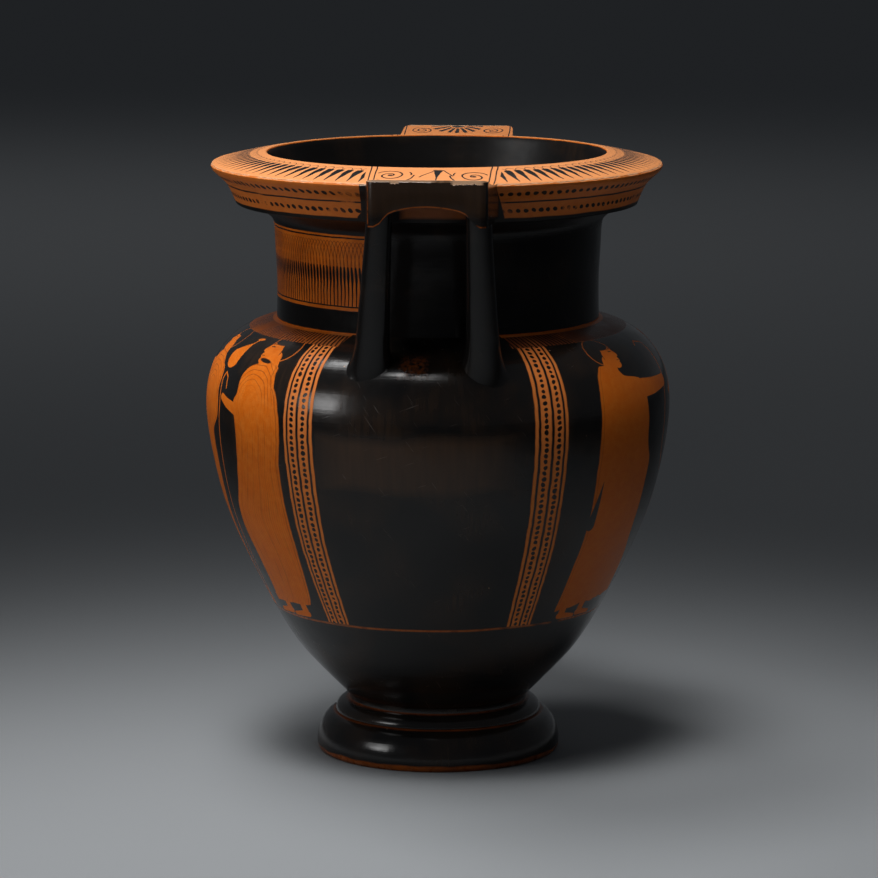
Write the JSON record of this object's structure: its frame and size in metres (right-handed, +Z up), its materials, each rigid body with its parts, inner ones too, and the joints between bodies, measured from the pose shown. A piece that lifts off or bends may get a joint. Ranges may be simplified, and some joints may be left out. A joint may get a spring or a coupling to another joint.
{
  "type": "column krater",
  "caption": "Wide-mouthed fired-clay mixing bowl with an overhanging flat rim, upright column handles under flat plates, a moulded foot and framed figure panels.",
  "frame": {"origin": "centre of the foot's resting ring, on the surface it stands on", "axes": "+Z up along the pot's axis; the handles lie along -Y and +Y; the painted panels face -X and +X"},
  "size_m": [0.3062, 0.37, 0.4],
  "materials": {
    "painted_clay": "black gloss slip with reserved orange clay panels, bands and figures, lightly worn"
  },
  "bodies": {
    "root": {"krater": "painted_clay"}
  },
  "joints": []
}
